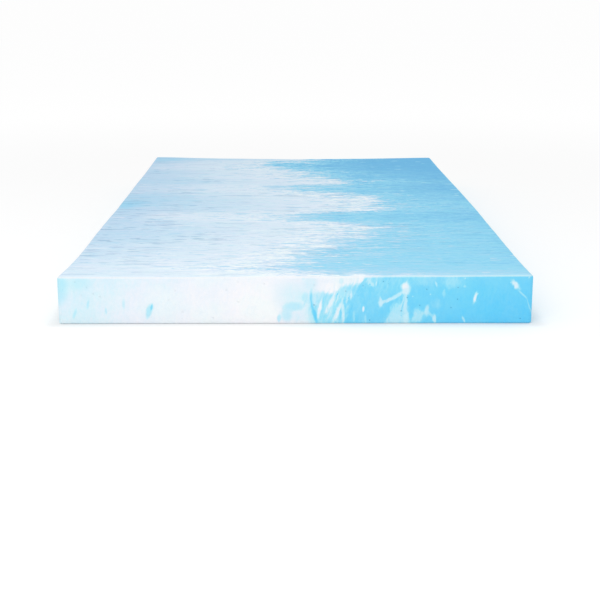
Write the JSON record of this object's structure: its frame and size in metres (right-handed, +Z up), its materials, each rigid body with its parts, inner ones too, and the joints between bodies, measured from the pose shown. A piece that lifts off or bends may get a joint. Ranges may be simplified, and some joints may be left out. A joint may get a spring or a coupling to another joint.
{
  "type": "mattress topper",
  "caption": "Flat slab of blue and white marbled gel foam with softly rounded cut edges, laid on a bed as a soft upper layer.",
  "frame": {"origin": "middle of the flat underside, on the surface that the topper lies on", "axes": "+X across the width from the white side to the blue side, +Y along the length away from the near end, +Z up through the thickness"},
  "size_m": [0.9905, 1.905, 0.1045],
  "materials": {
    "gel_foam": "matt open-cell foam, white on one side and sky blue on the other, marbled with wisps where they meet"
  },
  "bodies": {
    "root": {"foam_slab": "gel_foam"}
  },
  "joints": []
}
